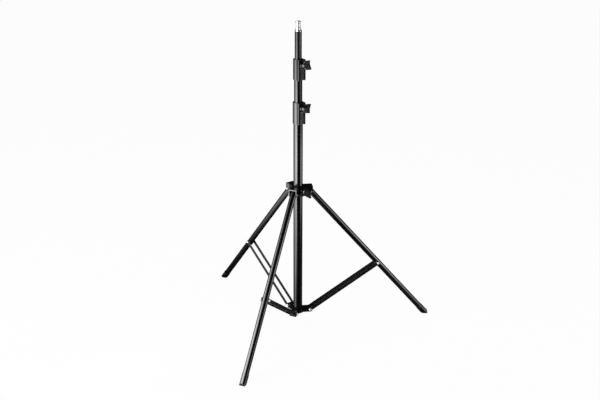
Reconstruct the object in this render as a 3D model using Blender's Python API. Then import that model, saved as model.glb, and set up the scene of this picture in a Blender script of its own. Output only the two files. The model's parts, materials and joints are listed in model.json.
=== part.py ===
"""A three-section light stand with folding legs, in metres, +Z up.

The origin is the centre of the mast's bottom face. The floor is FLOOR_Z below it. The right leg points
along +X, the back leg 120 degrees round from it and the front leg 240 degrees, and all three clamp knobs
point halfway between the front and the right leg.
"""

import math

import bmesh
import bpy
from mathutils import Matrix, Vector

MM = 0.001
GAP = 0.3 * MM  # between solids that touch
ROUND = 24  # sides of a mast or leg tube
SMALL_ROUND = 12  # sides of a screw or a rivet

# Mast
WALL = 1.2 * MM
LOWER_TUBE_RADIUS = 15 * MM
MIDDLE_TUBE_RADIUS = 13 * MM
TOP_TUBE_RADIUS = 11 * MM
PLUG_LIP = 3.5 * MM
LOWER_TUBE_TOP = 695 * MM
MIDDLE_TUBE = (120 * MM, 834 * MM)  # lowest and highest point
TOP_TUBE = (228 * MM, 951 * MM)
BUSH_LIP = 4 * MM
BUSH_DEPTH = 16 * MM

# Spigot: the standard 16 mm stud
SPIGOT_RADIUS = 8 * MM
SPIGOT_GROOVE_RADIUS = 6.9 * MM
SPIGOT_SHOULDER = 4 * MM
SPIGOT_LENGTH = 26 * MM
SPIGOT_SHANK = 28 * MM

# Collars, each with a clamp block that carries the screw
LOWER_COLLAR = (659.5 * MM, 729.5 * MM)
UPPER_COLLAR = (800.5 * MM, 865.5 * MM)
LOWER_COLLAR_RADIUS = 17.3 * MM
UPPER_COLLAR_RADIUS = 16.1 * MM
BLOCK_FRONT = 21.7 * MM
BLOCK_HALF_WIDTH = 14 * MM
RECESS_HALF_WIDTH = 7.2 * MM
RECESS_FLOOR = 18.2 * MM
BOSS_RADIUS = 10.5 * MM
BOSS_FRONT = 28 * MM
SCREW_BELOW_TOP = 23.7 * MM  # where the clamp screw meets the mast's axis, below a collar's top
SCREW_TILT = math.radians(14)  # the collars' screws rise outwards
FIXING_SCREW_UP = 20 * MM  # above a collar's lower end

# Clamp knob and screw, measured along the screw from the mast's axis
SCREW_RADIUS = 4 * MM
PAD_RADIUS = 4.3 * MM
PAD_THICK = 2.5 * MM
KNOB_GAP = 1.5 * MM
KNOB_HUB_RADIUS = 8 * MM
KNOB_LENGTH = 31 * MM
KNOB_HUB_LENGTH = 21 * MM
WING_HALF_HEIGHT = 14.5 * MM
WING_HALF_THICK = 3 * MM
LOWER_KNOB_TURN = math.radians(-20)  # how far a knob's wing stands off the vertical
UPPER_KNOB_TURN = math.radians(3)
HUB_KNOB_TURN = math.radians(10)

# Legs and their fold. Pivots are (radius from the mast's axis, height above the mast's bottom).
FLOOR_Z = -35.5 * MM
LEG_AZIMUTHS = {"right": 0.0, "back": math.radians(120), "front": math.radians(240)}
KNOB_AZIMUTH = math.radians(-60)
LEG_RADIUS = 10 * MM
LEG_PIVOT = (40 * MM, 433.5 * MM)
FOOT_CENTRE_RADIUS = 444.2 * MM  # where a leg's axis meets the floor
BRACE_PIVOT = (40 * MM, 9 * MM)
BRACE_ALONG_LEG = 352.5 * MM  # from the leg's pivot to the rivet that holds the brace
LEG_PAST_PIVOT = 8 * MM
FOOT_RADIUS = 11 * MM
FOOT_LENGTH = 34 * MM
FOOT_TOE = 7.5 * MM  # how far the foot reaches out past the leg's axis at the floor
FOOT_WALL = 1 * MM

# Leg spider
HUB = (424.5 * MM, 452.5 * MM)
HUB_RADIUS = 20 * MM
EAR_REACH = 47.2 * MM
EAR_LOW = 427 * MM
EAR_HALF_WIDTH = 13.5 * MM
EAR_CORNER = 2 * MM
CHANNEL_HALF_WIDTH = 10.5 * MM
CHANNEL_ROOT = 24.5 * MM
CHANNEL_ROOF = 448 * MM
HUB_SCREW_HEIGHT = 439.5 * MM
HUB_BOSS_FRONT = 31 * MM
HUB_BLOCK_FRONT = 29.5 * MM
HUB_BLOCK_LOW = 422.5 * MM
HUB_BLOCK_HALF_WIDTH = 11 * MM
HUB_BLOCK_DROP = 3 * MM  # the block's top, below the spider's
PIVOT_BOLT_RADIUS = 3 * MM
BOLT_HEAD_RADIUS = 5.2 * MM
BOLT_HEAD_THICK = 2.6 * MM

# Lower spider and braces
SPIDER_TOP = 16 * MM
SPIDER_RADIUS = 20 * MM
LUG_HALF_WIDTH = 10.9 * MM
LUG_REACH = 47.5 * MM
STRIP_INNER = 11.35 * MM  # from the leg's plane to a strip's inner face
STRIP_THICK = 1.8 * MM
STRIP_HALF_HEIGHT = 6 * MM
RIVET_RADIUS = 2.5 * MM
RIVET_HEAD_RADIUS = 4.2 * MM
PIN_HEAD_RADIUS = 4.8 * MM
RIVET_HEAD_THICK = 2.4 * MM
SADDLE_LENGTH = 16 * MM
SADDLE_RADIUS = 11.8 * MM
SADDLE_HALF_WIDTH = 11 * MM
SADDLE_SIDE_RISE = 4.5 * MM  # how far its flat sides reach past the rivet, towards the leg's top

BLACK = (0.012, 0.012, 0.012, 1.0)


def clear_scene():
    for item in list(bpy.data.objects):
        bpy.data.objects.remove(item, do_unlink=True)


def material(name, colour, roughness, metallic):
    made = bpy.data.materials.new(name)
    made.use_nodes = True
    shader = made.node_tree.nodes["Principled BSDF"]
    shader.inputs["Base Color"].default_value = colour
    shader.inputs["Roughness"].default_value = roughness
    shader.inputs["Metallic"].default_value = metallic
    return made


def node(name, mesh_data, finish, joint=None):
    """One named piece, shaded smooth over its rounds and carried by its joint's empty."""
    made = bpy.data.objects.new(name, mesh_data)
    bpy.context.collection.objects.link(made)
    mesh_data.materials.clear()
    mesh_data.materials.append(finish)
    mesh_data.shade_smooth()
    mesh_data.set_sharp_from_angle(angle=math.radians(35))
    if joint:
        made.parent = joint
        made.matrix_parent_inverse = joint.matrix_world.inverted()
    return made


def joint_empty(name, place, along, parent=None):
    """An empty on a joint's axis, its own Z along it."""
    made = bpy.data.objects.new(name, None)
    made.empty_display_size = 0.03
    bpy.context.collection.objects.link(made)
    world = Matrix.Translation(place) @ Vector(along).to_track_quat("Z", "Y").to_matrix().to_4x4()
    if parent:
        made.parent = parent
        made.matrix_parent_inverse = parent.matrix_world.inverted()
    made.matrix_world = world
    bpy.context.view_layer.update()
    return made


def mesh_of(bm, place=None):
    """The bmesh as mesh data, put through a placing matrix."""
    if place is not None:
        bmesh.ops.transform(bm, matrix=place, verts=bm.verts)
    bmesh.ops.recalc_face_normals(bm, faces=bm.faces)
    data = bpy.data.meshes.new("piece")
    bm.to_mesh(data)
    bm.free()
    return data


def turned(profile, sides=ROUND):
    """A closed solid of revolution about Z, from (radius, height) points that close on themselves."""
    bm = bmesh.new()
    rings = []
    for radius, height in profile:
        if radius == 0:
            rings.append([bm.verts.new((0, 0, height))])
            continue
        turns = (2 * math.pi * step / sides for step in range(sides))
        rings.append([bm.verts.new((radius * math.cos(t), radius * math.sin(t), height)) for t in turns])
    for here, there in zip(rings, rings[1:] + rings[:1]):
        if len(here) == len(there) == 1:
            continue
        for step in range(sides):
            after = (step + 1) % sides
            corners = [here[step % len(here)], here[after % len(here)]]
            corners += [there[after % len(there)], there[step % len(there)]]
            bm.faces.new(list(dict.fromkeys(corners)))
    return bm


def pipe(outer, inner, low, high, sides=ROUND):
    return turned([(outer, low), (outer, high), (inner, high), (inner, low)], sides)


def rod(radius, low, high, sides=ROUND, chamfer=0.0):
    profile = [(0, low), (radius, low), (radius, high), (0, high)]
    if chamfer:
        profile[1:2] = [(radius - chamfer, low), (radius, low + chamfer)]
        profile[3:4] = [(radius, high - chamfer), (radius - chamfer, high)]
    return turned(profile, sides)


def slab(low, high):
    """A box between two corners."""
    bm = bmesh.new()
    bmesh.ops.create_cube(bm, size=1)
    middle = (Vector(low) + Vector(high)) / 2
    size = Vector(high) - Vector(low)
    bmesh.ops.scale(bm, vec=size, verts=bm.verts)
    bmesh.ops.translate(bm, vec=middle, verts=bm.verts)
    return bm


def plate(outline, low, high):
    """An outline of (x, z) points, extruded along Y from low to high."""
    bm = bmesh.new()
    face = bm.faces.new([bm.verts.new((x, low, z)) for x, z in outline])
    grown = bmesh.ops.extrude_face_region(bm, geom=[face])
    moved = [item for item in grown["geom"] if isinstance(item, bmesh.types.BMVert)]
    bmesh.ops.translate(bm, vec=(0, high - low, 0), verts=moved)
    return bm


def arc(centre, radius, start, end, steps):
    """Points on an arc, angles in degrees."""
    angles = (math.radians(start + (end - start) * step / steps) for step in range(steps + 1))
    return [(centre[0] + radius * math.cos(a), centre[1] + radius * math.sin(a)) for a in angles]


def bevelled(bm, width, keep):
    """Rounds the edges that keep(edge) picks."""
    edges = [edge for edge in bm.edges if keep(edge)]
    bmesh.ops.bevel(bm, geom=edges, offset=width, segments=2, profile=0.5, affect="EDGES")
    return bm


def is_upright(edge):
    along = edge.verts[1].co - edge.verts[0].co
    return abs(along.z) > 0.9 * along.length


def combine(base, steps):
    """The base mesh after its Booleans: steps are (operation, bmesh) pairs, worked out in order."""
    body = bpy.data.objects.new("work", mesh_of(base))
    bpy.context.collection.objects.link(body)
    tools = []
    for operation, tool in steps:
        helper = bpy.data.objects.new("tool", mesh_of(tool))
        bpy.context.collection.objects.link(helper)
        helper.hide_render = True
        helper.display_type = "WIRE"
        cut = body.modifiers.new("cut", "BOOLEAN")
        cut.operation = operation
        cut.object = helper
        tools.append(helper)
    bpy.context.view_layer.update()
    graph = bpy.context.evaluated_depsgraph_get()
    data = bpy.data.meshes.new_from_object(body.evaluated_get(graph))
    for item in [body] + tools:
        bpy.data.objects.remove(item, do_unlink=True)
    return data


def placed(bm, matrix):
    bmesh.ops.transform(bm, matrix=matrix, verts=bm.verts)
    return bm


def spun(azimuth):
    return Matrix.Rotation(azimuth, 4, "Z")


def along_x(start=0.0):
    """Turns a solid made along Z so that it lies along +X."""
    return Matrix.Translation((start, 0, 0)) @ Matrix.Rotation(math.pi / 2, 4, "Y")


def along_y():
    """Turns a solid made along Z so that it lies along +Y."""
    return Matrix.Rotation(-math.pi / 2, 4, "X")


def screw_frame(height, tilt, azimuth=KNOB_AZIMUTH):
    """The frame of a clamp screw: its X runs out along the screw from the mast's axis."""
    return Matrix.Translation((0, 0, height)) @ spun(azimuth) @ Matrix.Rotation(-tilt, 4, "Y")


def leg_angle():
    """How far a leg leans from the vertical."""
    return math.atan2(FOOT_CENTRE_RADIUS - LEG_PIVOT[0], LEG_PIVOT[1] - FLOOR_Z)


def leg_frame(azimuth):
    """The frame of a leg: origin at its pivot, +Z up along its axis, Y along its pivot bolt."""
    pivot = Matrix.Translation((LEG_PIVOT[0], 0, LEG_PIVOT[1]))
    return spun(azimuth) @ pivot @ Matrix.Rotation(-leg_angle(), 4, "Y")


def brace_span():
    """From the brace's lower pivot to its rivet on the leg, as a vector in the leg's upright plane."""
    lean = leg_angle()
    rivet_out = LEG_PIVOT[0] + BRACE_ALONG_LEG * math.sin(lean)
    rivet_up = LEG_PIVOT[1] - BRACE_ALONG_LEG * math.cos(lean)
    return Vector((rivet_out - BRACE_PIVOT[0], 0, rivet_up - BRACE_PIVOT[1]))


def brace_frame(azimuth):
    """The frame of a brace: origin at its lower pivot, +X along it to the rivet."""
    span = brace_span()
    pivot = Matrix.Translation((BRACE_PIVOT[0], 0, BRACE_PIVOT[1]))
    return spun(azimuth) @ pivot @ Matrix.Rotation(-math.atan2(span.z, span.x), 4, "Y")


def make_tubes(finishes, slides):
    lower = pipe(LOWER_TUBE_RADIUS, LOWER_TUBE_RADIUS - WALL, PLUG_LIP + GAP, LOWER_TUBE_TOP)
    node("lower_tube", mesh_of(lower), finishes["tube"])
    middle = pipe(MIDDLE_TUBE_RADIUS, MIDDLE_TUBE_RADIUS - WALL, *MIDDLE_TUBE)
    node("middle_tube", mesh_of(middle), finishes["tube"], slides["middle"])
    top = pipe(TOP_TUBE_RADIUS, TOP_TUBE_RADIUS - WALL, *TOP_TUBE)
    node("top_tube", mesh_of(top), finishes["tube"], slides["top"])


def make_mast_plug(finishes):
    inside = LOWER_TUBE_RADIUS - WALL - GAP
    edge = 1 * MM
    profile = [(0, 0), (LOWER_TUBE_RADIUS - edge, 0), (LOWER_TUBE_RADIUS, edge)]
    profile += [(LOWER_TUBE_RADIUS, PLUG_LIP), (inside, PLUG_LIP), (inside, 6 * PLUG_LIP)]
    profile += [(inside - edge, 6 * PLUG_LIP + edge), (0, 6 * PLUG_LIP + edge)]
    node("mast_bottom_plug", mesh_of(turned(profile)), finishes["plastic"])


def make_glide_bushes(finishes, slides):
    """A flanged bush in each sliding tube's foot, which runs in the tube outside it."""
    fits = {"middle": (MIDDLE_TUBE_RADIUS, MIDDLE_TUBE[0]), "top": (TOP_TUBE_RADIUS, TOP_TUBE[0])}
    for name, (radius, foot) in fits.items():
        flange = radius + 0.4 * MM
        plug = radius - WALL - GAP
        bore = plug - 1.8 * MM
        profile = [(flange, foot - GAP - BUSH_LIP), (flange, foot - GAP), (plug, foot - GAP)]
        profile += [(plug, foot + BUSH_DEPTH), (bore, foot + BUSH_DEPTH), (bore, foot - GAP - BUSH_LIP)]
        node(name + "_glide_bush", mesh_of(turned(profile)), finishes["nylon"], slides[name])


def make_spigot(finishes, slide):
    shoulder = TOP_TUBE[1] + GAP
    base = shoulder + SPIGOT_SHOULDER
    tip = base + SPIGOT_LENGTH
    edge = 1 * MM
    shank = TOP_TUBE_RADIUS - WALL - GAP
    head_low = tip - 6 * MM
    groove_low = base + 5.5 * MM
    profile = [(0, shoulder - SPIGOT_SHANK), (shank, shoulder - SPIGOT_SHANK), (shank, shoulder)]
    profile += [(TOP_TUBE_RADIUS, shoulder), (TOP_TUBE_RADIUS, shoulder + edge)]
    profile += [(SPIGOT_RADIUS + edge, base), (SPIGOT_RADIUS, base), (SPIGOT_RADIUS, groove_low)]
    profile += [(SPIGOT_GROOVE_RADIUS, groove_low + edge), (SPIGOT_GROOVE_RADIUS, head_low - edge)]
    profile += [(SPIGOT_RADIUS, head_low), (SPIGOT_RADIUS, tip - edge), (SPIGOT_RADIUS - edge, tip), (0, tip)]
    across = Matrix.Translation((0, 0, shoulder - SPIGOT_SHANK / 2)) @ along_y()
    hole = placed(rod(1.8 * MM, -20 * MM, 20 * MM, SMALL_ROUND), across)
    node("spigot", combine(turned(profile), [("DIFFERENCE", hole)]), finishes["nickel"], slide)
    pin = rod(1.5 * MM, -8.8 * MM, 8.8 * MM, SMALL_ROUND)
    node("spigot_cross_pin", mesh_of(pin, across), finishes["steel"], slide)


def clamp_block(low, high, boss_height):
    """The Booleans that add a clamp block, its recess and its boss to a sleeve, along +X."""
    block = slab((2 * MM, -BLOCK_HALF_WIDTH, low), (BLOCK_FRONT, BLOCK_HALF_WIDTH, high))
    block = bevelled(block, 3.5 * MM, lambda edge: is_upright(edge) and edge.verts[0].co.x > BLOCK_FRONT - MM)
    half = RECESS_HALF_WIDTH
    recess = slab((RECESS_FLOOR, -half, low - MM), (BLOCK_FRONT + MM, half, boss_height))
    boss = rod(BOSS_RADIUS, 10 * MM, BOSS_FRONT, ROUND, 1 * MM)
    boss = placed(boss, screw_frame(boss_height, SCREW_TILT, 0.0) @ along_x())
    return [("UNION", block), ("DIFFERENCE", recess), ("UNION", boss)]


def make_collar(name, ends, radius, tube_outside, tube_inside, tube_top, finishes, joint):
    """A collar fixed on the outer tube's top, which guides the inner tube and carries its clamp."""
    low, high = ends
    edge = 1 * MM
    screw_height = high - SCREW_BELOW_TOP
    sleeve = turned([(0, low), (radius, low), (radius, high - edge), (radius - edge, high), (0, high)])
    steps = clamp_block(low, high, screw_height)
    outside = tube_outside + GAP
    inside = tube_inside + GAP
    bore = [(0, low - 5 * MM), (outside, low - 5 * MM), (outside, tube_top + GAP)]
    bore += [(inside, tube_top + GAP), (inside, high + 5 * MM), (0, high + 5 * MM)]
    steps.append(("DIFFERENCE", turned(bore)))
    screw_bore = rod(PAD_RADIUS + GAP, 5 * MM, 60 * MM, SMALL_ROUND)
    steps.append(("DIFFERENCE", placed(screw_bore, screw_frame(screw_height, SCREW_TILT, 0.0) @ along_x())))
    fixing_height = low + FIXING_SCREW_UP
    fixing_hole = rod(2 * MM, 5 * MM, 40 * MM, SMALL_ROUND)
    steps.append(("DIFFERENCE", placed(fixing_hole, screw_frame(fixing_height, 0.0, 0.0) @ along_x())))
    data = combine(sleeve, steps)
    data.transform(spun(KNOB_AZIMUTH))
    node(name, data, finishes["plastic"], joint)
    head_back = RECESS_FLOOR + GAP
    screw = [(0, tube_outside + 2 * GAP), (1.7 * MM, tube_outside + 2 * GAP), (1.7 * MM, head_back)]
    screw += [(3.2 * MM, head_back), (3.2 * MM, head_back + 1.2 * MM), (2.2 * MM, head_back + 2.2 * MM)]
    screw += [(0, head_back + 2.4 * MM)]
    place = screw_frame(fixing_height, 0.0) @ along_x()
    node(name + "_fixing_screw", mesh_of(turned(screw, SMALL_ROUND), place), finishes["dark_steel"], joint)
    make_pad(name + "_pressure_pad", screw_height, SCREW_TILT, tube_inside, finishes, joint)


def make_pad(name, height, tilt, tube_radius, finishes, joint):
    """The pad that the clamp screw presses on the tube: a short rod whose end leans with the tube."""
    start = (tube_radius + GAP) / math.cos(tilt)
    pad = rod(PAD_RADIUS, start - 4 * MM, start + PAD_THICK, SMALL_ROUND)
    place = screw_frame(height, tilt, 0.0) @ along_x()
    clear = rod(tube_radius + GAP, height - 30 * MM, height + 30 * MM)
    data = combine(placed(pad, place), [("DIFFERENCE", clear)])
    data.transform(spun(KNOB_AZIMUTH))
    node(name, data, finishes["nylon"], joint)


def wing_outline():
    """The wing in the plane of the screw, as (distance along it, height): full at its root, hollow at its end."""
    tip = WING_HALF_HEIGHT
    end = KNOB_LENGTH
    upper = [(MM, tip - 4 * MM), (2.5 * MM, tip - 1.5 * MM), (8 * MM, tip - 0.7 * MM)]
    upper += arc((end - 2 * MM, tip - 2 * MM), 2 * MM, 90, 0, 3)
    hollow = [(end - 3 * MM, 5 * MM), (end - 3.4 * MM, 0)]
    lower = [(x, -z) for x, z in reversed(upper)]
    return upper + hollow + [(end - 3 * MM, -5 * MM)] + lower


def make_knob(name, height, tilt, boss_front, tube_radius, turn, finishes, joint):
    """A wing knob and its clamp screw, along the screw's own axis."""
    start = boss_front + KNOB_GAP
    frame = screw_frame(height, tilt)
    hub = KNOB_HUB_RADIUS
    profile = [(0, 0), (hub + 1 * MM, 0), (hub + 1 * MM, 5 * MM), (hub - 0.8 * MM, 7 * MM)]
    profile += [(hub - 1.5 * MM, KNOB_HUB_LENGTH), (hub - 2.5 * MM, KNOB_HUB_LENGTH + MM)]
    profile.append((0, KNOB_HUB_LENGTH + MM))
    wing = plate(wing_outline(), -WING_HALF_THICK, WING_HALF_THICK)
    bore = rod(SCREW_RADIUS + GAP, -5 * MM, 14 * MM, SMALL_ROUND)
    steps = [("UNION", wing), ("DIFFERENCE", placed(bore, along_x()))]
    data = combine(placed(turned(profile, 24), along_x()), steps)
    data.transform(frame @ Matrix.Translation((start, 0, 0)) @ Matrix.Rotation(turn, 4, "X"))
    node(name, data, finishes["knob"], joint)
    inner = (tube_radius + GAP) / math.cos(tilt) + PAD_THICK + GAP
    screw = rod(SCREW_RADIUS, inner, start + 13.5 * MM, SMALL_ROUND, 0.7 * MM)
    node(name.replace("knob", "clamp_screw"), mesh_of(screw, frame @ along_x()), finishes["steel"], joint)


def ear_outline():
    """An ear's side, as (radius, height), with a rounded outer top corner."""
    top = HUB[1]
    corner = EAR_CORNER
    points = [(12 * MM, EAR_LOW), (EAR_REACH - 3 * MM, EAR_LOW), (EAR_REACH, EAR_LOW + 4 * MM)]
    points += arc((EAR_REACH - corner, top - corner), corner, 0, 90, 4)
    points.append((12 * MM, top))
    return points


def make_leg_hub(finishes, joint):
    low, high = HUB
    sleeve = turned([(HUB_RADIUS, low), (HUB_RADIUS, high), (MM, high), (MM, low)])
    steps = []
    for azimuth in LEG_AZIMUTHS.values():
        ear = plate(ear_outline(), -EAR_HALF_WIDTH, EAR_HALF_WIDTH)
        steps.append(("UNION", placed(ear, spun(azimuth))))
    half = HUB_BLOCK_HALF_WIDTH
    block = slab((10 * MM, -half, HUB_BLOCK_LOW), (HUB_BLOCK_FRONT, half, high - HUB_BLOCK_DROP))
    steps.append(("UNION", placed(block, spun(KNOB_AZIMUTH))))
    boss = rod(BOSS_RADIUS, 10 * MM, HUB_BOSS_FRONT, ROUND, 1 * MM)
    level = Matrix.Translation((0, 0, HUB_SCREW_HEIGHT))
    steps.append(("UNION", placed(boss, level @ spun(KNOB_AZIMUTH) @ along_x())))
    for azimuth in LEG_AZIMUTHS.values():
        half = CHANNEL_HALF_WIDTH
        channel = slab((CHANNEL_ROOT, -half, low - 10 * MM), (EAR_REACH + 10 * MM, half, CHANNEL_ROOF))
        steps.append(("DIFFERENCE", placed(channel, spun(azimuth))))
        bolt_hole = rod(PIVOT_BOLT_RADIUS + GAP, -30 * MM, 30 * MM, SMALL_ROUND)
        at_pivot = Matrix.Translation((LEG_PIVOT[0], 0, LEG_PIVOT[1]))
        steps.append(("DIFFERENCE", placed(bolt_hole, spun(azimuth) @ at_pivot @ along_y())))
    steps.append(("DIFFERENCE", rod(LOWER_TUBE_RADIUS + 0.4 * MM, low - 5 * MM, high + 5 * MM)))
    screw_bore = rod(PAD_RADIUS + GAP, 5 * MM, 60 * MM, SMALL_ROUND)
    steps.append(("DIFFERENCE", placed(screw_bore, level @ spun(KNOB_AZIMUTH) @ along_x())))
    node("leg_hub", combine(sleeve, steps), finishes["plastic"], joint)
    make_pad("leg_hub_pressure_pad", HUB_SCREW_HEIGHT, 0, LOWER_TUBE_RADIUS, finishes, joint)


def pin_with_heads(radius, half_grip, head_radius, head_thick):
    """A pin along Z with a domed head at each end."""
    inner = half_grip + GAP
    outer = inner + head_thick
    half = [(radius, inner), (head_radius, inner), (head_radius, inner + head_thick / 3)]
    half += [(0.75 * head_radius, outer - head_thick / 5), (0, outer)]
    return turned([(r, -z) for r, z in reversed(half)] + half, SMALL_ROUND)


def make_leg(name, azimuth, finishes, joint, hub_joint):
    frame = leg_frame(azimuth)
    lean = leg_angle()
    length = (LEG_PIVOT[1] - FLOOR_Z) / math.cos(lean)
    tube_low = -length + 22 * MM
    tube = pipe(LEG_RADIUS, LEG_RADIUS - WALL, tube_low, LEG_PAST_PIVOT - 2 * MM)
    bolt_hole = placed(rod(PIVOT_BOLT_RADIUS + GAP, -30 * MM, 30 * MM, SMALL_ROUND), along_y())
    data = combine(tube, [("DIFFERENCE", bolt_hole)])
    data.transform(frame)
    node(name + "_leg_tube", data, finishes["tube"], joint)
    inside = LEG_RADIUS - WALL - GAP
    cap = LEG_PAST_PIVOT - 2 * MM + GAP
    profile = [(0, -22 * MM), (inside, -22 * MM), (inside, cap), (LEG_RADIUS, cap)]
    profile += [(LEG_RADIUS, cap + 1 * MM), (LEG_RADIUS - 1 * MM, cap + 2 * MM), (0, cap + 2 * MM)]
    bolt_hole = placed(rod(PIVOT_BOLT_RADIUS + GAP, -30 * MM, 30 * MM, SMALL_ROUND), along_y())
    data = combine(turned(profile), [("DIFFERENCE", bolt_hole)])
    data.transform(frame)
    node(name + "_leg_top_plug", data, finishes["plastic"], joint)
    bolt = pin_with_heads(PIVOT_BOLT_RADIUS, EAR_HALF_WIDTH, BOLT_HEAD_RADIUS, BOLT_HEAD_THICK)
    place = spun(azimuth) @ Matrix.Translation((LEG_PIVOT[0], 0, LEG_PIVOT[1])) @ along_y()
    node(name + "_leg_pivot_bolt", mesh_of(bolt, place), finishes["steel"], hub_joint)
    make_foot(name, azimuth, frame, length, tube_low, finishes, joint)
    make_saddle(name, frame, finishes, joint)


def make_foot(name, azimuth, frame, length, tube_low, finishes, joint):
    """A rubber foot over the leg's end, cut level for the floor and upright at the toe."""
    socket = LEG_RADIUS + GAP
    rim = -length + FOOT_LENGTH
    blank = [(0, -length - 30 * MM), (FOOT_RADIUS, -length - 30 * MM), (FOOT_RADIUS, rim - MM)]
    blank += [(FOOT_RADIUS - 0.4 * MM, rim), (socket, rim)]
    blank += [(socket, tube_low - GAP), (0, tube_low - GAP)]
    big = 60 * MM
    middle = FOOT_CENTRE_RADIUS
    floor_cut = slab((middle - 2 * big, -big, FLOOR_Z - 2 * big), (middle + 2 * big, big, FLOOR_Z))
    toe = middle + FOOT_TOE
    toe_cut = slab((toe, -big, FLOOR_Z - big), (toe + 2 * big, big, FLOOR_Z + big))
    to_world = spun(-azimuth) @ frame
    steps = [("DIFFERENCE", floor_cut), ("DIFFERENCE", toe_cut)]
    data = combine(placed(turned(blank), to_world), steps)
    data.transform(spun(azimuth))
    node(name + "_foot", data, finishes["rubber"], joint)


def make_saddle(name, frame, finishes, joint):
    """The saddle under a leg where its brace is riveted, flat at its sides and open over the leg's top."""
    middle = -BRACE_ALONG_LEG
    half = SADDLE_LENGTH / 2
    outside = rod(SADDLE_RADIUS, middle - half, middle + half)
    big = 40 * MM
    steps = []
    for side in (-1, 1):
        edges = sorted((side * SADDLE_HALF_WIDTH, side * big))
        steps.append(("DIFFERENCE", slab((-big, edges[0], middle - big), (big, edges[1], middle + big))))
    steps.append(("DIFFERENCE", slab((SADDLE_SIDE_RISE, -big, middle - big), (big, big, middle + big))))
    steps.append(("DIFFERENCE", rod(LEG_RADIUS + GAP, middle - big, middle + big)))
    data = combine(outside, steps)
    data.transform(frame)
    node(name + "_brace_saddle", data, finishes["plastic"], joint)


def strip_outline(length):
    """A strip's side, as (along, across), with round ends about its two holes."""
    half = STRIP_HALF_HEIGHT
    return arc((length, 0), half, -90, 90, 8) + arc((0, 0), half, 90, 270, 8)


def make_brace(name, azimuth, finishes, joint):
    frame = brace_frame(azimuth)
    length = brace_span().length
    for label, side in (("near", -1), ("far", 1)):
        faces = sorted((side * STRIP_INNER, side * (STRIP_INNER + STRIP_THICK)))
        strip = plate(strip_outline(length), *faces)
        steps = []
        for along in (0, length):
            hole = rod(RIVET_RADIUS + GAP, -30 * MM, 30 * MM, SMALL_ROUND)
            steps.append(("DIFFERENCE", placed(hole, Matrix.Translation((along, 0, 0)) @ along_y())))
        data = combine(strip, steps)
        data.transform(frame)
        node(name + "_brace_" + label + "_strip", data, finishes["strip"], joint)
        shank = STRIP_INNER + 0.1 * MM
        head = STRIP_INNER + STRIP_THICK + GAP
        profile = [(0, shank), (RIVET_RADIUS, shank), (RIVET_RADIUS, head), (RIVET_HEAD_RADIUS, head)]
        profile += [(RIVET_HEAD_RADIUS, head + RIVET_HEAD_THICK / 3)]
        profile += [(0.6 * RIVET_HEAD_RADIUS, head + RIVET_HEAD_THICK), (0, head + RIVET_HEAD_THICK)]
        rivet = turned(profile, SMALL_ROUND)
        if side < 0:
            rivet = placed(rivet, Matrix.Rotation(math.pi, 4, "X"))
        place = frame @ Matrix.Translation((length, 0, 0)) @ along_y()
        node(name + "_brace_" + label + "_rivet", mesh_of(rivet, place), finishes["rivet"], joint)


def lug_outline():
    """A lug's side, as (radius, height)."""
    corner = 4 * MM
    points = [(12 * MM, 0), (LUG_REACH - 3 * MM, 0), (LUG_REACH, 3 * MM)]
    points += arc((LUG_REACH - corner, SPIDER_TOP - corner), corner, 0, 90, 3)
    points.append((12 * MM, SPIDER_TOP))
    return points


def make_lower_spider(finishes):
    """The spider at the mast's foot: three solid lugs, each between the two strips of a brace."""
    edge = 1 * MM
    rim = SPIDER_TOP + edge
    profile = [(0, 0), (SPIDER_RADIUS, 0), (SPIDER_RADIUS, SPIDER_TOP), (SPIDER_RADIUS - edge, rim), (0, rim)]
    barrel = turned(profile)
    steps = []
    at_pivot = Matrix.Translation((BRACE_PIVOT[0], 0, BRACE_PIVOT[1]))
    for azimuth in LEG_AZIMUTHS.values():
        lug = plate(lug_outline(), -LUG_HALF_WIDTH, LUG_HALF_WIDTH)
        steps.append(("UNION", placed(lug, spun(azimuth))))
    for azimuth in LEG_AZIMUTHS.values():
        hole = rod(RIVET_RADIUS + GAP, -30 * MM, 30 * MM, SMALL_ROUND)
        steps.append(("DIFFERENCE", placed(hole, spun(azimuth) @ at_pivot @ along_y())))
    steps.append(("DIFFERENCE", rod(LOWER_TUBE_RADIUS + GAP, -5 * MM, SPIDER_TOP + 5 * MM)))
    screw_place = Matrix.Translation((0, 0, SPIDER_TOP / 2)) @ spun(KNOB_AZIMUTH) @ along_x()
    steps.append(("DIFFERENCE", placed(rod(2 * MM, 5 * MM, 40 * MM, SMALL_ROUND), screw_place)))
    node("lower_spider", combine(barrel, steps), finishes["plastic"])
    head = SPIDER_RADIUS + GAP
    start = LOWER_TUBE_RADIUS + 2 * GAP
    screw = [(0, start), (1.7 * MM, start), (1.7 * MM, head), (3.4 * MM, head), (3.4 * MM, head + 1.2 * MM)]
    screw += [(2.3 * MM, head + 2.3 * MM), (0, head + 2.5 * MM)]
    data = mesh_of(turned(screw, SMALL_ROUND), screw_place)
    node("lower_spider_fixing_screw", data, finishes["dark_steel"])
    grip = STRIP_INNER + STRIP_THICK
    for name, azimuth in LEG_AZIMUTHS.items():
        pin = pin_with_heads(RIVET_RADIUS, grip, PIN_HEAD_RADIUS, RIVET_HEAD_THICK)
        place = spun(azimuth) @ at_pivot @ along_y()
        node(name + "_brace_lower_pin", mesh_of(pin, place), finishes["rivet"])


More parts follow.
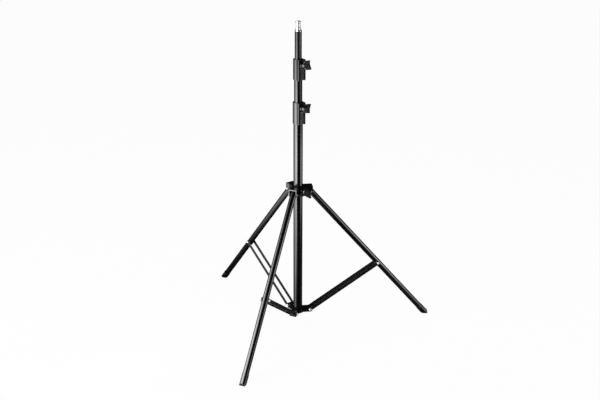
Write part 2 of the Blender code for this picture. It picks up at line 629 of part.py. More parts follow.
def main():
    clear_scene()
    finishes = {
        "tube": material("black_tube", BLACK, 0.32, 0.6),
        "plastic": material("black_plastic", BLACK, 0.38, 0.0),
        "knob": material("knob_plastic", BLACK, 0.45, 0.0),
        "strip": material("black_strip", (0.02, 0.02, 0.02, 1), 0.35, 0.7),
        "rubber": material("rubber", (0.015, 0.015, 0.015, 1), 0.7, 0.0),
        "nylon": material("nylon", (0.6, 0.6, 0.58, 1), 0.5, 0.0),
        "nickel": material("nickel", (0.75, 0.75, 0.74, 1), 0.2, 1.0),
        "rivet": material("rivet_steel", (0.62, 0.62, 0.61, 1), 0.28, 1.0),
        "steel": material("zinc_steel", (0.55, 0.55, 0.54, 1), 0.3, 1.0),
        "dark_steel": material("blackened_steel", (0.05, 0.05, 0.05, 1), 0.4, 0.9),
    }
    up = (0, 0, 1)
    middle = joint_empty("middle_slide", (0, 0, MIDDLE_TUBE[1]), up)
    top = joint_empty("top_slide", (0, 0, TOP_TUBE[1]), up, middle)
    hub = joint_empty("hub_slide", (0, 0, HUB[1]), up)
    make_tubes(finishes, {"middle": middle, "top": top})
    make_mast_plug(finishes)
    make_glide_bushes(finishes, {"middle": middle, "top": top})
    make_spigot(finishes, top)
    lower_fit = (LOWER_COLLAR_RADIUS, LOWER_TUBE_RADIUS, MIDDLE_TUBE_RADIUS, LOWER_TUBE_TOP)
    upper_fit = (UPPER_COLLAR_RADIUS, MIDDLE_TUBE_RADIUS, TOP_TUBE_RADIUS, MIDDLE_TUBE[1])
    make_collar("lower_collar", LOWER_COLLAR, *lower_fit, finishes, None)
    make_collar("upper_collar", UPPER_COLLAR, *upper_fit, finishes, middle)
    make_leg_hub(finishes, hub)
    lower_screw = LOWER_COLLAR[1] - SCREW_BELOW_TOP
    upper_screw = UPPER_COLLAR[1] - SCREW_BELOW_TOP
    knobs = (
        ("lower_knob", lower_screw, SCREW_TILT, BOSS_FRONT, MIDDLE_TUBE_RADIUS, LOWER_KNOB_TURN, None),
        ("upper_knob", upper_screw, SCREW_TILT, BOSS_FRONT, TOP_TUBE_RADIUS, UPPER_KNOB_TURN, middle),
        ("hub_knob", HUB_SCREW_HEIGHT, 0.0, HUB_BOSS_FRONT, LOWER_TUBE_RADIUS, HUB_KNOB_TURN, hub),
    )
    for name, height, tilt, boss_front, tube_radius, turn, carrier in knobs:
        frame = screw_frame(height, tilt)
        joint = joint_empty(name + "_turn", frame.translation, frame.to_3x3() @ Vector((1, 0, 0)), carrier)
        make_knob(name, height, tilt, boss_front, tube_radius, turn, finishes, joint)
    for name, azimuth in LEG_AZIMUTHS.items():
        place = spun(azimuth) @ Vector((LEG_PIVOT[0], 0, LEG_PIVOT[1]))
        across = spun(azimuth) @ Vector((0, 1, 0))
        leg_joint = joint_empty(name + "_leg_fold", place, across, hub)
        make_leg(name, azimuth, finishes, leg_joint, hub)
        place = spun(azimuth) @ Vector((BRACE_PIVOT[0], 0, BRACE_PIVOT[1]))
        make_brace(name, azimuth, finishes, joint_empty(name + "_brace_fold", place, across))
    make_lower_spider(finishes)


main()
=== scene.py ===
"""The looks of a folding light stand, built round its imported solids.

Metres, +Z up. The origin is the centre of the mast's bottom face, and the floor lies at FLOOR_Z.
"""

import json
import math

import bmesh
import bpy
from mathutils import Matrix, Vector


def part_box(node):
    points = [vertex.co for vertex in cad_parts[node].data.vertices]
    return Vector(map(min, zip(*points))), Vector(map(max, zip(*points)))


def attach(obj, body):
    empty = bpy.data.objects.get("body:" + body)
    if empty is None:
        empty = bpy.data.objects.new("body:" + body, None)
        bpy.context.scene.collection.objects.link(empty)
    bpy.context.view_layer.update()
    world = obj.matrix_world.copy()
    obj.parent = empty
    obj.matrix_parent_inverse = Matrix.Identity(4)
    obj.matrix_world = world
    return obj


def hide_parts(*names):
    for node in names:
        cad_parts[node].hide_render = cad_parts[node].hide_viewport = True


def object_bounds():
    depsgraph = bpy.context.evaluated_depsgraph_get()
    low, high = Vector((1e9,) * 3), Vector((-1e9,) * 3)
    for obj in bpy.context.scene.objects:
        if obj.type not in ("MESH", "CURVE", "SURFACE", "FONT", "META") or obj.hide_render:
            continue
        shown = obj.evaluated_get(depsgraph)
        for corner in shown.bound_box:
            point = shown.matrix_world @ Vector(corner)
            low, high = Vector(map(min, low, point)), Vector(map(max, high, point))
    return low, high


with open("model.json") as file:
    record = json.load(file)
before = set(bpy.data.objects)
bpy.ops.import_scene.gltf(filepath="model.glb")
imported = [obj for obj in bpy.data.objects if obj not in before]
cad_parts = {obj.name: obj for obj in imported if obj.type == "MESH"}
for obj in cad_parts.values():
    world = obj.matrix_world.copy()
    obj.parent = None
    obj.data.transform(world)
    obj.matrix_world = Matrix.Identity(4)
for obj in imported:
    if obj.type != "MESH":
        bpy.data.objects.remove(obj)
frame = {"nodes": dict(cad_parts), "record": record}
cad_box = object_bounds()

MM = 0.001
FLOOR_Z = cad_box[0].z
SIDES = 96  # round a tube
FINE_SIDES = 48  # round a screw or a rivet
FIT = 0.3 * MM  # between pieces that touch
SHARP_ANGLE = math.radians(40)  # shown as an edge from here on
BEVEL_ANGLE = math.radians(50)  # rounded from here on
MOULD_FACES_KEPT = 0.35

# Mast
WALL = 1.2 * MM
TUBE_RADIUS = {"lower": 15 * MM, "middle": 13 * MM, "top": 11 * MM}
PLUG_LIP = 3.5 * MM
STUD_RADIUS = 8 * MM
STUD_WAIST_RADIUS = 6.9 * MM

# Collars, with fronts and floors measured out from the mast's axis
COLLAR_RADIUS = {"lower": 17.3 * MM, "upper": 16.1 * MM}
BLOCK_FRONT = 21.7 * MM
BLOCK_HALF_WIDTH = 14 * MM
BLOCK_CORNER = 4.2 * MM
RECESS_HALF_WIDTH = 7.2 * MM
RECESS_FLOOR = 18.2 * MM
RECESS_EDGE = 1.8 * MM
BOSS_ROOT = 10 * MM
BOSS_RADIUS = 10.5 * MM
BOSS_FRONT = 28 * MM
SCREW_BELOW_TOP = 23.7 * MM
SCREW_TILT = math.radians(14)
FIXING_SCREW_UP = 20 * MM
FIXING_HOLE_RADIUS = 2 * MM

# Knobs, measured out along the screw
PAD_RADIUS = 4.3 * MM
KNOB_GAP = 1.5 * MM
KNOB_LENGTH = 31 * MM
KNOB_CORE_LENGTH = 22 * MM
WING_HALF_HEIGHT = 14.5 * MM
WING_HALF_THICK = 3 * MM
KNOB_AZIMUTH = math.radians(-60)
KNOB_TURN = {"lower": math.radians(-20), "upper": math.radians(3), "hub": math.radians(10)}

# Legs and braces, with pivots as (radius from the mast's axis, height)
LEG_AZIMUTH = {"right": 0.0, "back": math.radians(120), "front": math.radians(240)}
LEG_RADIUS = 10 * MM
LEG_PIVOT = (40 * MM, 433.5 * MM)
LEG_TUBE_TOP = 6 * MM  # past the pivot
LEG_PLUG_DEPTH = 22 * MM  # below the pivot
LEG_TUBE_END = 22 * MM  # short of the floor
BOLT_RADIUS = 3 * MM
FOOT_CENTRE = 444.2 * MM  # how far out a leg's axis meets the floor
FOOT_TOE = 7.5 * MM  # further out than that
FOOT_RADIUS = 11 * MM
FOOT_LENGTH = 34 * MM
BRACE_PIVOT = (40 * MM, 9 * MM)
BRACE_ALONG_LEG = 352.5 * MM  # down from the leg's pivot
RIVET_RADIUS = 2.5 * MM
RIVET_HEAD_HEIGHT = 2.4 * MM
SADDLE_RADIUS = 11.8 * MM
SADDLE_HALF_LENGTH = 8 * MM
SADDLE_SIDE = 11 * MM
SADDLE_OPENING = 4.5 * MM
STRIP_INNER = 11.35 * MM
STRIP_THICK = 1.8 * MM
STRIP_HALF_HEIGHT = 6 * MM

# Leg spider and brace spider
HUB_SLIDE_FIT = 0.4 * MM
HUB_RADIUS = 20 * MM
EAR_ROOT = 12 * MM
HUB = (424.5 * MM, 452.5 * MM)  # its lowest and highest
EAR_REACH = 47.2 * MM
EAR_LOW = 427 * MM
EAR_HALF_WIDTH = 13.5 * MM
CHANNEL_HALF_WIDTH = 10.5 * MM
CHANNEL_ROOT = 24.5 * MM
CHANNEL_ROOF = 448 * MM
HUB_SCREW_HEIGHT = 439.5 * MM
HUB_BOSS_FRONT = 31 * MM
HUB_BLOCK_FRONT = 29.5 * MM
HUB_BLOCK_LOW = 422.5 * MM
HUB_BLOCK_HALF_WIDTH = 11 * MM
LUG_REACH = 47.5 * MM
LUG_TOP = 16 * MM
LUG_HALF_WIDTH = 10.9 * MM

# Camera, found by fitting the stand's straight lines and the standard stud
PHOTO_WIDTH = 600
FOCAL_PIXELS = 957.25
MAST_PIXEL = 298.0
SENSOR = 36.0
CAMERA_BACK = 2.90437
CAMERA_UP = 1.53092
CAMERA_PITCH = math.radians(20.633)
CAMERA_ROLL = 0.00169384
STAND_TURN = math.radians(-8.211)  # of the camera and studio round the stand

# Studio
STAND_MIDDLE = 0.4  # height at which the lamps aim
FLOOR_HALF_SIZE = 30
FLOOR_GLOW = 0.96  # how much of the floor's white is its own
TENT_RADIUS = 2.9
TENT_SHIFT = 1.0  # to the right
TENT_HEIGHT = 2.4
TENT_PATH = TENT_RADIUS + TENT_SHIFT + TENT_HEIGHT  # out along the floor, then up the wall
TENT_LIFT = 0.002  # over the floor
TENT_HOLE = 0.02  # in the middle of its floor and roof
CARD_LEVEL = 18.0  # the brightest that a card can be, where 1 is white
BLACK_FLAG = 0.013
WORLD_FILL = 0.32


def spun(azimuth):
    return Matrix.Rotation(azimuth, 4, "Z")


def moved(x=0.0, y=0.0, z=0.0):
    return Matrix.Translation((x, y, z))


# For what is modelled along Z
ALONG_X = Matrix.Rotation(math.pi / 2, 4, "Y")
ALONG_Y = Matrix.Rotation(-math.pi / 2, 4, "X")

# Worked out from the pivots and the floor
LEG_LEAN = math.atan2(FOOT_CENTRE - LEG_PIVOT[0], LEG_PIVOT[1] - FLOOR_Z)
LEG_LENGTH = (LEG_PIVOT[1] - FLOOR_Z) / math.cos(LEG_LEAN)
BRACE_SPAN = Vector((
    LEG_PIVOT[0] + BRACE_ALONG_LEG * math.sin(LEG_LEAN) - BRACE_PIVOT[0],
    LEG_PIVOT[1] - BRACE_ALONG_LEG * math.cos(LEG_LEAN) - BRACE_PIVOT[1],
))


def pivot_frame(azimuth, pivot):
    """Origin at a pivot, +X out from the mast, +Y along the pin."""
    return spun(azimuth) @ moved(pivot[0], 0, pivot[1])


def leg_frame(azimuth):
    """Origin at the leg's pivot, +Z up along the leg."""
    return pivot_frame(azimuth, LEG_PIVOT) @ Matrix.Rotation(-LEG_LEAN, 4, "Y")


def brace_frame(azimuth):
    """Origin at the brace's lower pivot, +X along the brace."""
    rise = Matrix.Rotation(-math.atan2(BRACE_SPAN.y, BRACE_SPAN.x), 4, "Y")
    return pivot_frame(azimuth, BRACE_PIVOT) @ rise


def screw_frame(height, tilt):
    """+X out along a clamp screw, from the mast's axis."""
    return moved(z=height) @ spun(KNOB_AZIMUTH) @ Matrix.Rotation(-tilt, 4, "Y")


class Socket:
    """A shader value. Arithmetic on it adds Math nodes beside it."""

    def __init__(self, shading, socket):
        self.shading = shading
        self.socket = socket

    def calculated(self, operation, *others):
        return self.shading.maths(operation, self, *others)

    def __add__(self, other):
        return self.shading.maths("ADD", self, other)

    def __radd__(self, other):
        return self.shading.maths("ADD", other, self)

    def __mul__(self, other):
        return self.shading.maths("MULTIPLY", self, other)

    def __rmul__(self, other):
        return self.shading.maths("MULTIPLY", other, self)

    def __truediv__(self, other):
        return self.shading.maths("DIVIDE", self, other)

    def __rtruediv__(self, other):
        return self.shading.maths("DIVIDE", other, self)


def grey(level):
    return (level, level, level)


class Shading:
    """The shader nodes of a material or of the world."""

    def __init__(self, tree):
        self.tree = tree

    def add(self, kind, settings=None, inputs=None, output=0):
        """A new node: its settings are set first, then the values or links of its sockets."""
        node = self.tree.nodes.new("ShaderNode" + kind)
        for setting, value in (settings or {}).items():
            if setting == "stops":
                self.set_stops(node.color_ramp, value)
            else:
                setattr(node, setting, value)
        for key, value in (inputs or {}).items():
            self.feed(node.inputs[key], value)
        return Socket(self, node.outputs[output])

    def maths(self, operation, *values):
        return self.add("Math", {"operation": operation}, dict(enumerate(values)))

    def add_several(self, outputs, kind, inputs=None):
        """A new node of which several outputs are used."""
        node = self.add(kind, None, inputs).socket.node
        return [Socket(self, node.outputs[output]) for output in outputs]

    def set_stops(self, ramp, stops):
        while len(ramp.elements) > 1:
            ramp.elements.remove(ramp.elements[-1])
        for index, (place, level) in enumerate(stops):
            stop = ramp.elements[0] if index == 0 else ramp.elements.new(place)
            stop.position = place
            stop.color = (*grey(level), 1.0)

    def feed(self, socket, value):
        if isinstance(value, Socket):
            self.tree.links.new(value.socket, socket)
        else:
            socket.default_value = value

    def colour(self, share, low, high):
        """From one colour to another."""
        inputs = {0: share, 6: (*low, 1.0), 7: (*high, 1.0)}
        return self.add("Mix", {"data_type": "RGBA"}, inputs, output=2)

    def seen_directly(self):
        """1 for what the camera, a reflection or clear material sees."""
        rays = ("Is Camera Ray", "Is Glossy Ray", "Is Transmission Ray")
        camera, glossy, through = self.add_several(rays, "LightPath")
        return camera.calculated("MAXIMUM", glossy).calculated("MAXIMUM", through)


class Finish(Shading):
    """One material: a Principled shader, and the nodes that vary it over a surface."""

    def __init__(self, name, colour, roughness, metallic=0.0, **constants):
        self.material = bpy.data.materials.new(name)
        self.material.use_nodes = True
        super().__init__(self.material.node_tree)
        self.shader = self.tree.nodes["Principled BSDF"]
        self.shade(Base_Color=(*colour, 1.0), Roughness=roughness, Metallic=metallic, **constants)

    def shade(self, **inputs):
        """Feeds the Principled shader's own sockets."""
        for name, value in inputs.items():
            self.feed(self.shader.inputs[name.replace("_", " ")], value)

    def place(self):
        """Where a point is on its own piece, in metres."""
        return self.add("TexCoord", output="Object")

    def axes(self):
        """The place's x, y and z."""
        return self.add_several("XYZ", "SeparateXYZ", {0: self.place()})

    def stretched(self, x, y, z):
        """The place, stretched so that a pattern is drawn out along an axis."""
        return self.add("VectorMath", {"operation": "MULTIPLY"}, {0: self.place(), 1: (x, y, z)})

    def noise(self, scale, detail=3.0, place=None, rough=0.5):
        inputs = {"Vector": place or self.place(), "Scale": scale, "Detail": detail, "Roughness": rough}
        return self.add("TexNoise", None, inputs)

    def ramp(self, value, *stops):
        return self.add("ValToRGB", {"stops": stops}, {0: value})

    def bump(self, height, strength, distance):
        inputs = {"Height": height, "Strength": strength, "Distance": distance}
        self.shade(Normal=self.add("Bump", None, inputs))


def from_axis(x, y):
    """How far a point is from the Z axis, from two shader values."""
    return (x * x + y * y).calculated("SQRT")


def black_tube():
    """Black anodised aluminium tube: drawn along its length, with faint rubs where it slides."""
    made = Finish("black_tube", grey(0.003), roughness=0.14)
    drawn = made.noise(900, detail=2, place=made.stretched(1, 1, 0.02))
    patches = made.noise(38, detail=4, place=made.stretched(1, 1, 0.3), rough=0.6)
    streaks = made.noise(260, detail=5, place=made.stretched(1, 1, 0.03), rough=0.7)
    rubs = made.ramp(streaks, (0.62, 0.0), (0.75, 1.0))
    made.shade(Base_Color=made.colour(rubs * 0.5, grey(0.003), grey(0.01)))
    made.shade(Roughness=0.1 + patches * 0.06 + drawn * 0.04 + rubs * 0.06)
    made.bump(drawn, strength=0.06, distance=0.05 * MM)
    return made.material


def black_plastic():
    """Glossy black moulded plastic, with a fine spark-eroded grain and faint flow marks."""
    level = 0.0045
    made = Finish("black_plastic", grey(level), roughness=0.12)
    speck = made.noise(2600, detail=2)
    flow = made.noise(60, detail=4, rough=0.6)
    made.shade(Base_Color=made.colour(flow, grey(0.75 * level), grey(1.35 * level)))
    made.shade(Roughness=0.08 + flow * 0.08)
    made.bump(speck, strength=0.03, distance=0.08 * MM)
    return made.material


def part_polished(name, measured, *stops):
    """Black moulded plastic, matt but where its mould was polished.

    The stops are (distance, polish) pairs. The distance is measured along x or z, or is the radius.
    """
    made = Finish(name, grey(0.003), roughness=0.4, Specular_IOR_Level=0.05, Coat_Roughness=0.08)
    speck = made.noise(2600, detail=2)
    flow = made.noise(60, detail=4, rough=0.6)
    x, y, z = made.axes()
    distance = from_axis(x, y) if measured == "radius" else {"x": x, "z": z}[measured]
    span = 40 * MM
    polish = made.ramp(distance / span, *((reach / span, level) for reach, level in stops))
    made.shade(Base_Color=made.colour(flow, grey(0.002), grey(0.004)))
    made.shade(Roughness=0.4 + flow * 0.1, Coat_Weight=polish)
    made.bump(speck, strength=0.03, distance=0.08 * MM)
    return made.material


def collar_plastic():
    """Polished, but for a band on the clamp block's sides, and its front."""
    sides = ((9.6 * MM, 0.85), (10.8 * MM, 0.25), (14.4 * MM, 0.25), (15.6 * MM, 1), (18.4 * MM, 1))
    front = ((20 * MM, 0.03), (22 * MM, 0.03), (23.2 * MM, 0.9))
    return part_polished("collar_plastic", "x", *sides, *front)


def spider_plastic():
    """Matt round the mast, and polished out along the ears or lugs."""
    return part_polished("spider_plastic", "radius", (30.4 * MM, 0.03), (33.6 * MM, 0.9))


def knob_plastic():
    """Polished round its root, and matt along the wings."""
    return part_polished("knob_plastic", "z", (8 * MM, 0.85), (11.2 * MM, 0.03))


def black_strip():
    """Black paint on steel strip: nearly smooth, with light scuffs along it."""
    made = Finish("black_strip", grey(0.005), roughness=0.4)
    peel = made.noise(700, detail=2)
    streaks = made.noise(180, detail=6, place=made.stretched(0.08, 1, 1), rough=0.75)
    scuffs = made.ramp(streaks, (0.6, 0.0), (0.72, 1.0))
    made.shade(Base_Color=made.colour(scuffs * 0.6, grey(0.003), grey(0.012)))
    made.shade(Roughness=0.38 + scuffs * 0.06 + peel * 0.04)
    made.bump(peel, strength=0.08, distance=0.06 * MM)
    return made.material


def foot_rubber():
    """Smooth black rubber, a little dusty in its hollows."""
    made = Finish("rubber", grey(0.004), roughness=0.2)
    dust = made.ramp(made.noise(140, detail=5, rough=0.7), (0.45, 0.0), (0.75, 1.0))
    made.shade(Base_Color=made.colour(dust, grey(0.003), grey(0.008)))
    made.shade(Roughness=0.16 + dust * 0.14)
    made.bump(made.noise(1500), strength=0.05, distance=0.05 * MM)
    return made.material


def turned_metal(name, level, roughness, metallic=1.0):
    """Plated metal turned on a lathe, with fine rings round its local Z axis."""
    made = Finish(name, grey(level), roughness, metallic)
    rings = made.noise(1400, detail=2, place=made.stretched(0.03, 0.03, 1))
    smudge = made.noise(120, detail=4, rough=0.6)
    made.shade(Base_Color=made.colour(smudge, grey(level * 0.9), grey(min(1.0, level * 1.06))))
    made.shade(Roughness=roughness - 0.05 + smudge * 0.1 + rings * 0.06)
    made.bump(rings, strength=0.1, distance=0.03 * MM)
    return made.material


def natural_nylon():
    """Undyed nylon: a slightly cloudy off-white."""
    made = Finish("nylon", grey(0.6), roughness=0.45)
    cloud = made.noise(90)
    made.shade(Base_Color=made.colour(cloud, (0.55, 0.55, 0.52), (0.66, 0.66, 0.63)))
    made.shade(Roughness=0.38 + cloud * 0.15)
    return made.material


def rounded(outline, radius, steps=4):
    """The outline with its corners rounded, apart from those on the axis of a turned piece."""
    points = []
    for index, corner in enumerate(outline):
        corner = Vector(corner)
        before = Vector(outline[index - 1]) - corner
        after = Vector(outline[(index + 1) % len(outline)]) - corner
        if corner.x == 0:
            points.append(corner)
            continue
        reach = min(radius, 0.45 * before.length, 0.45 * after.length)
        start = corner + reach * before.normalized()
        end = corner + reach * after.normalized()
        for step in range(steps + 1):
            t = step / steps
            points.append((1 - t) ** 2 * start + 2 * t * (1 - t) * corner + t * t * end)
    return points


def arc(centre, radius, start, end, steps):
    """Points on an arc, angles in degrees."""
    angles = (math.radians(start + (end - start) * step / steps) for step in range(steps + 1))
    return [(centre[0] + radius * math.cos(a), centre[1] + radius * math.sin(a)) for a in angles]


def turned(profile, sides=SIDES):
    """A closed solid of revolution about Z, from (radius, height) points."""
    bm = bmesh.new()
    rings = []
    for radius, height in profile:
        if radius == 0:
            rings.append([bm.verts.new((0, 0, height))])
            continue
        turns = (2 * math.pi * step / sides for step in range(sides))
        rings.append([bm.verts.new((radius * math.cos(t), radius * math.sin(t), height)) for t in turns])
    for here, there in zip(rings, rings[1:] + rings[:1]):
        if len(here) == len(there) == 1:
            continue
        for step in range(sides):
            after = (step + 1) % sides
            corners = [here[step % len(here)], here[after % len(here)]]
            corners += [there[after % len(there)], there[step % len(there)]]
            bm.faces.new(list(dict.fromkeys(corners)))
    bmesh.ops.recalc_face_normals(bm, faces=bm.faces)
    return bm


def rod(radius, low, high, sides=FINE_SIDES):
    return turned([(0, low), (radius, low), (radius, high), (0, high)], sides)


def slab(low, high):
    bm = bmesh.new()
    bmesh.ops.create_cube(bm, size=1)
    bmesh.ops.scale(bm, vec=Vector(high) - Vector(low), verts=bm.verts)
    bmesh.ops.translate(bm, vec=(Vector(low) + Vector(high)) / 2, verts=bm.verts)
    return bm


def plate(outline, low, high):
    """An outline of (x, z) points, extruded along Y."""
    bm = bmesh.new()
    face = bm.faces.new([bm.verts.new((x, low, z)) for x, z in outline])
    grown = bmesh.ops.extrude_face_region(bm, geom=[face])
    tops = [item for item in grown["geom"] if isinstance(item, bmesh.types.BMVert)]
    bmesh.ops.translate(bm, vec=(0, high - low, 0), verts=tops)
    bmesh.ops.recalc_face_normals(bm, faces=bm.faces)
    return bm


def plate_up(outline, low, high):
    """An outline of (x, y) points, extruded up Z."""
    return placed(plate(outline, -high, -low), Matrix.Rotation(-math.pi / 2, 4, "X"))


def edged(bm, width, steps=3):
    """Rounds every edge where two flat faces meet at a clear angle."""
    sharp = [edge for edge in bm.edges if edge.calc_face_angle(0) > BEVEL_ANGLE]
    bmesh.ops.bevel(bm, geom=sharp, offset=width, segments=steps, profile=0.5, affect="EDGES")
    return bm


def placed(bm, matrix):
    bmesh.ops.transform(bm, matrix=matrix, verts=bm.verts)
    return bm


def mesh_of(bm):
    data = bpy.data.meshes.new("piece")
    bm.to_mesh(data)
    bm.free()
    return data


def worked(data, modifiers):
    """The mesh after its modifiers: (kind, settings) pairs, worked out in order."""
    body = bpy.data.objects.new("work", data)
    bpy.context.collection.objects.link(body)
    for kind, settings in modifiers:
        modifier = body.modifiers.new("work", kind)
        for setting, value in settings.items():
            setattr(modifier, setting, value)
    graph = bpy.context.evaluated_depsgraph_get()
    made = bpy.data.meshes.new_from_object(body.evaluated_get(graph))
    bpy.data.objects.remove(body, do_unlink=True)
    return made


def joined(*tools):
    return [("UNION", tool) for tool in tools]


def cut(*tools):
    return [("DIFFERENCE", tool) for tool in tools]


def pin_hole(radius, place=Matrix()):
    """What a hole for a pin along Y takes away, right through the piece."""
    reach = 30 * MM
    return placed(rod(radius, -reach, reach), place @ ALONG_Y)


def screw_hole(radius, place):
    """What a hole for a screw along +X takes away, from the tube outwards."""
    return placed(rod(radius, 5 * MM, 60 * MM), place @ ALONG_X)


def combine(base, steps):
    """The base after its Booleans, which joined() and cut() make."""
    tools = []
    modifiers = []
    for operation, tool in steps:
        helper = bpy.data.objects.new("tool", mesh_of(tool))
        bpy.context.collection.objects.link(helper)
        tools.append(helper)
        modifiers.append(("BOOLEAN", {"operation": operation, "object": helper}))
    data = worked(mesh_of(base), modifiers)
    for helper in tools:
        bpy.data.objects.remove(helper, do_unlink=True)
    return data


def moulded(data, voxel=0.55 * MM, rounds=3):
    """A moulding: its edges and inner corners softened as a mould leaves them."""
    steps = [
        ("REMESH", {"mode": "VOXEL", "voxel_size": voxel}),
        ("SMOOTH", {"factor": 0.5, "iterations": rounds}),
        ("DECIMATE", {"ratio": MOULD_FACES_KEPT}),
    ]
    return worked(data, steps)


def piece(name, data, finish, body, stands_for, place=None, hard=True):
    """A shown piece: shaded smooth, riding on its body and standing for its CAD nodes."""
    if isinstance(data, bmesh.types.BMesh):
        data = mesh_of(data)
    made = bpy.data.objects.new(name, data)
    bpy.context.collection.objects.link(made)
    data.materials.clear()
    data.materials.append(finish)
    data.shade_smooth()
    if hard:
        data.set_sharp_from_angle(angle=SHARP_ANGLE)
        made.modifiers.new("flats", "WEIGHTED_NORMAL").keep_sharp = True
    if place is not None:
        made.matrix_world = place
    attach(made, body)
    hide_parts(*stands_for)


def tube_section(radius, low, high):
    inside = radius - WALL
    return [(radius, low), (radius, high), (inside, high), (inside, low)]


def make_mast_tubes(finishes):
    """Three tubes that slide in one another, each open at both ends."""
    bodies = {"lower": "mast", "middle": "middle_section", "top": "top_section"}
    for name, body in bodies.items():
        node = name + "_tube"
        low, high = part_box(node)
        tube = turned(rounded(tube_section(TUBE_RADIUS[name], low.z, high.z), radius=0.4 * MM))
        piece("mast_" + node, tube, finishes["tube"], body, [node])


def make_mast_plug(finishes):
    """The plug in the mast's foot, its lip under the tube."""
    low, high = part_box("mast_bottom_plug")
    radius = TUBE_RADIUS["lower"]
    inside = radius - WALL - FIT
    lip = low.z + PLUG_LIP
    section = [(0, low.z), (radius, low.z), (radius, lip), (inside, lip), (inside, high.z), (0, high.z)]
    plug = turned(rounded(section, radius=1 * MM))
    piece("mast_foot_plug", plug, finishes["plastic"], "mast", ["mast_bottom_plug"])


def make_stud(finishes):
    """The silver stud: a shoulder on the tube, a collar, a waist and a head."""
    low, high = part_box("spigot")
    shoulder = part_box("top_tube")[1].z + FIT
    rim = shoulder + 2.4 * MM
    collar = shoulder + 4 * MM
    collar_top = collar + 5.5 * MM
    head = high.z - 6 * MM
    tip = high.z
    slope = 1 * MM
    tube = TUBE_RADIUS["top"]
    shank = tube - WALL - FIT
    section = [(0, low.z), (shank, low.z), (shank, shoulder), (tube, shoulder), (tube, rim)]
    section += [(STUD_RADIUS + slope, collar), (STUD_RADIUS, collar), (STUD_RADIUS, collar_top)]
    section += [(STUD_WAIST_RADIUS, collar_top + slope), (STUD_WAIST_RADIUS, head - slope)]
    section += [(STUD_RADIUS, head), (STUD_RADIUS, tip - slope), (STUD_RADIUS - slope, tip), (0, tip)]
    stud = turned(rounded(section, radius=0.35 * MM))
    piece("stud", stud, finishes["nickel"], "top_section", ["spigot"])


def collar_shape(low, high, radius, tube_outside, tube_inside, tube_top):
    """A collar along +X: sleeve, clamp block with its recess, tilted boss, bores and screw holes."""
    sleeve = turned(rounded([(0, low), (radius, low), (radius, high), (0, high)], radius=0.8 * MM))
    side = BLOCK_HALF_WIDTH
    outline = [(0, -side), (BLOCK_FRONT, -side), (BLOCK_FRONT, side), (0, side)]
    clamp_block = plate_up(rounded(outline, radius=BLOCK_CORNER, steps=12), low, high)
    screw_height = high - SCREW_BELOW_TOP
    edge = RECESS_HALF_WIDTH + RECESS_EDGE
    lip = [(RECESS_FLOOR, RECESS_HALF_WIDTH)]
    lip += arc((BLOCK_FRONT - RECESS_EDGE, edge), RECESS_EDGE, -90, 0, 8) + [(BLOCK_FRONT + MM, edge)]
    recess = plate_up(lip + [(x, -y) for x, y in reversed(lip)], low - MM, screw_height)
    tilted = moved(z=screw_height) @ Matrix.Rotation(-SCREW_TILT, 4, "Y")
    boss = placed(rod(BOSS_RADIUS, BOSS_ROOT, BOSS_FRONT, SIDES), tilted @ ALONG_X)
    outside = tube_outside + FIT
    inside = tube_inside + FIT
    beyond = 5 * MM
    bore = [(0, low - beyond), (outside, low - beyond), (outside, tube_top + FIT)]
    bore += [(inside, tube_top + FIT), (inside, high + beyond), (0, high + beyond)]
    holes = [turned(bore), screw_hole(PAD_RADIUS + FIT, tilted)]
    holes.append(screw_hole(FIXING_HOLE_RADIUS, moved(z=low + FIXING_SCREW_UP)))
    return combine(sleeve, joined(clamp_block) + cut(recess) + joined(boss) + cut(*holes))


def make_collars(finishes):
    """Each collar is fixed on its outer tube and clamps the inner one."""
    fits = {
        "lower": ("mast", "lower", "middle"),
        "upper": ("middle_section", "middle", "top"),
    }
    for name, (body, outer, inner) in fits.items():
        node = name + "_collar"
        low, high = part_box(node)
        tube_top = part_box(outer + "_tube")[1].z
        radii = (COLLAR_RADIUS[name], TUBE_RADIUS[outer], TUBE_RADIUS[inner])
        data = moulded(collar_shape(low.z, high.z, *radii, tube_top))
        piece(name + "_clamp_collar", data, finishes["collar"], body, [node],
              spun(KNOB_AZIMUTH), hard=False)
        screw_height = low.z + FIXING_SCREW_UP
        make_fixing_screw(node + "_fixing_screw", screw_height, RECESS_FLOOR + FIT, body, finishes)
        make_knob(name, high.z - SCREW_BELOW_TOP, SCREW_TILT, BOSS_FRONT, finishes)


def make_fixing_screw(node, height, seat, body, finishes):
    """A small pan-head screw with a cross recess, its head on the seat."""
    tip = seat - 2.5 * MM
    rim = seat + 1.2 * MM
    crown = seat + 2.2 * MM
    shank = 1.7 * MM
    head = 3.2 * MM
    section = [(0, tip), (shank, tip), (shank, seat), (head, seat), (head, rim)]
    section += [(2 * MM, crown - 0.1 * MM), (0, crown)]
    screw = turned(rounded(section, radius=0.5 * MM), FINE_SIDES)
    half = 0.35 * MM
    reach = 1.9 * MM
    low = crown - 1.2 * MM
    high = crown + MM
    across = slab((-reach, -half, low), (reach, half, high))
    upright = slab((-half, -reach, low), (half, reach, high))
    place = screw_frame(height, 0.0) @ ALONG_X @ Matrix.Rotation(math.radians(25), 4, "Z")
    data = combine(screw, cut(across, upright))
    piece(node + "_head", data, finishes["dark_steel"], body, [node], place)


def wing_outline():
    """A wing in the plane of the screw: full at its root, hollow at its end."""
    end = KNOB_LENGTH
    tip = WING_HALF_HEIGHT
    upper = [(MM, tip - 4 * MM), (2.5 * MM, tip - 1.5 * MM), (8 * MM, tip - 0.7 * MM)]
    upper += [(end, tip), (end - 2.4 * MM, 6 * MM), (end - 3.4 * MM, 0)]
    lower = [(x, -z) for x, z in reversed(upper[:-1])]
    return rounded(upper + lower, radius=1.8 * MM)


